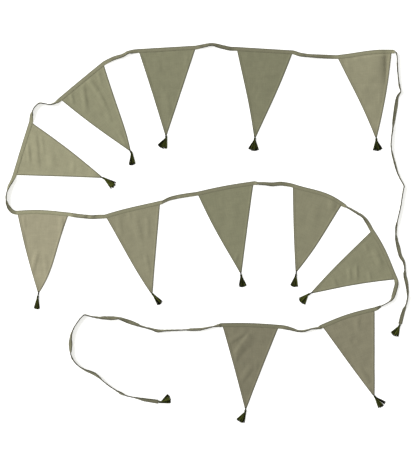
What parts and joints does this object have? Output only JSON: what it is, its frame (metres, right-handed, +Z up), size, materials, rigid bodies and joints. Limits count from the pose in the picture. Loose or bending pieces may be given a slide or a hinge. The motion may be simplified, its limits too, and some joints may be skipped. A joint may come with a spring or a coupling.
{
  "type": "fabric bunting",
  "caption": "Triangular cotton pennants caught in one folded tape that lies in an S, with a yarn tassel at each pennant's tip and at both free tie ends.",
  "frame": {"origin": "middle of the bounding box, on the surface that the bunting lies on", "axes": "+Z up from the surface; +X along the three rows to the right of the picture, +Y from the bottom row to the top row"},
  "size_m": [1.2096, 1.1392, 0.0111],
  "materials": {
    "cloth": "plain-woven cotton, matte, washed sage green, two layers sewn and turned out",
    "tape": "folded tape of the same cotton, edge-stitched, matte",
    "tassel": "dark olive yarn, brushed ends, slight sheen"
  },
  "bodies": {
    "root": {"pennant_01": "cloth", "pennant_02": "cloth", "pennant_03": "cloth", "pennant_04": "cloth", "pennant_05": "cloth", "pennant_06": "cloth", "pennant_07": "cloth", "pennant_08": "cloth", "pennant_09": "cloth", "pennant_10": "cloth", "pennant_11": "cloth", "pennant_12": "cloth", "tape": "tape", "tassel_01": "tassel", "tassel_02": "tassel", "tassel_03": "tassel", "tassel_04": "tassel", "tassel_05": "tassel", "tassel_06": "tassel", "tassel_07": "tassel", "tassel_08": "tassel", "tassel_09": "tassel", "tassel_10": "tassel", "tassel_11": "tassel", "tassel_12": "tassel", "tassel_13": "tassel", "tassel_14": "tassel"}
  },
  "joints": []
}
